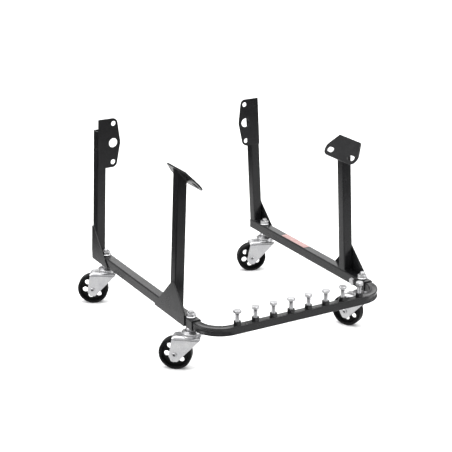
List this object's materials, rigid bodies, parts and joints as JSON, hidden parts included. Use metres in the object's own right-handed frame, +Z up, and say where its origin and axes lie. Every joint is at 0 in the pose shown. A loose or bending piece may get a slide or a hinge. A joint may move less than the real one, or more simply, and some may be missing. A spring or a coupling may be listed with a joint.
{
  "type": "engine cradle",
  "caption": "Welded square-tube engine cradle on swivel casters, with leaning uprights, drilled and slotted mounting plates, and a U-shaped front crossbar that stores its bolts.",
  "frame": {"origin": "on the floor, at the centre of the object's bounding box in plan", "axes": "+X to the cradle's right, +Y to its rear where the bell-housing plates are, +Z up; the side rails run along Y"},
  "size_m": [0.5787, 0.626, 0.484],
  "materials": {
    "black_powder_coat": "satin black powder coat",
    "zinc_plate": "bright zinc plate",
    "wheel_polymer": "matt black",
    "label": "printed film, left plain"
  },
  "bodies": {
    "cradle": {"bell_housing_plate_left": "black_powder_coat", "bell_housing_plate_right": "black_powder_coat", "crossbar_lock_bolt_left": "zinc_plate", "crossbar_lock_bolt_right": "zinc_plate", "front_crossbar": "black_powder_coat", "front_gusset_left": "black_powder_coat", "front_gusset_right": "black_powder_coat", "front_left_caster_stem": "zinc_plate", "front_left_caster_stem_nut": "zinc_plate", "front_right_caster_stem": "zinc_plate", "front_right_caster_stem_nut": "zinc_plate", "front_upright_left": "black_powder_coat", "front_upright_right": "black_powder_coat", "motor_mount_plate_left": "black_powder_coat", "motor_mount_plate_right": "black_powder_coat", "rail_label": "label", "rear_gusset_left": "black_powder_coat", "rear_gusset_right": "black_powder_coat", "rear_left_caster_stem": "zinc_plate", "rear_left_caster_stem_nut": "zinc_plate", "rear_right_caster_stem": "zinc_plate", "rear_right_caster_stem_nut": "zinc_plate", "rear_upright_left": "black_powder_coat", "rear_upright_right": "black_powder_coat", "side_rail_left": "black_powder_coat", "side_rail_right": "black_powder_coat", "storage_bolt_1": "zinc_plate", "storage_bolt_2": "zinc_plate", "storage_bolt_3": "zinc_plate", "storage_bolt_4": "zinc_plate", "storage_bolt_5": "zinc_plate", "storage_bolt_6": "zinc_plate", "storage_bolt_7": "zinc_plate", "storage_bolt_8": "zinc_plate", "storage_weld_nut_1": "black_powder_coat", "storage_weld_nut_2": "black_powder_coat", "storage_weld_nut_3": "black_powder_coat", "storage_weld_nut_4": "black_powder_coat", "storage_weld_nut_5": "black_powder_coat", "storage_weld_nut_6": "black_powder_coat", "storage_weld_nut_7": "black_powder_coat", "storage_weld_nut_8": "black_powder_coat"},
    "front_left_fork": {"front_left_caster_axle": "zinc_plate", "front_left_caster_fork": "zinc_plate"},
    "front_right_fork": {"front_right_caster_axle": "zinc_plate", "front_right_caster_fork": "zinc_plate"},
    "rear_left_fork": {"rear_left_caster_axle": "zinc_plate", "rear_left_caster_fork": "zinc_plate"},
    "rear_right_fork": {"rear_right_caster_axle": "zinc_plate", "rear_right_caster_fork": "zinc_plate"},
    "front_left_wheel": {"front_left_caster_wheel": "wheel_polymer"},
    "front_right_wheel": {"front_right_caster_wheel": "wheel_polymer"},
    "rear_left_wheel": {"rear_left_caster_wheel": "wheel_polymer"},
    "rear_right_wheel": {"rear_right_caster_wheel": "wheel_polymer"}
  },
  "joints": [
    {"name": "front_left_swivel", "type": "hinge", "parent": "cradle", "child": "front_left_fork", "pos_m": [-0.21816, -0.214, 0.09], "axis": [0, 0, 1], "continuous": true},
    {"name": "front_right_swivel", "type": "hinge", "parent": "cradle", "child": "front_right_fork", "pos_m": [0.26084, -0.214, 0.09], "axis": [0, 0, 1], "continuous": true},
    {"name": "rear_left_swivel", "type": "hinge", "parent": "cradle", "child": "rear_left_fork", "pos_m": [-0.21816, 0.254, 0.09], "axis": [0, 0, 1], "continuous": true},
    {"name": "rear_right_swivel", "type": "hinge", "parent": "cradle", "child": "rear_right_fork", "pos_m": [0.26084, 0.254, 0.09], "axis": [0, 0, 1], "continuous": true},
    {"name": "front_left_wheel_spin", "type": "hinge", "parent": "front_left_fork", "child": "front_left_wheel", "pos_m": [-0.24726, -0.18957, 0.0395], "axis": [-0.6428, -0.766, 0], "continuous": true},
    {"name": "front_right_wheel_spin", "type": "hinge", "parent": "front_right_fork", "child": "front_right_wheel", "pos_m": [0.24419, -0.17985, 0.0395], "axis": [-0.8988, -0.4384, 0], "continuous": true},
    {"name": "rear_left_wheel_spin", "type": "hinge", "parent": "rear_left_fork", "child": "rear_left_wheel", "pos_m": [-0.25038, 0.27414, 0.0395], "axis": [-0.5299, -0.848, 0], "continuous": true},
    {"name": "rear_right_wheel_spin", "type": "hinge", "parent": "rear_right_fork", "child": "rear_right_wheel", "pos_m": [0.22514, 0.267, 0.0395], "axis": [-0.342, -0.9397, 0], "continuous": true}
  ]
}
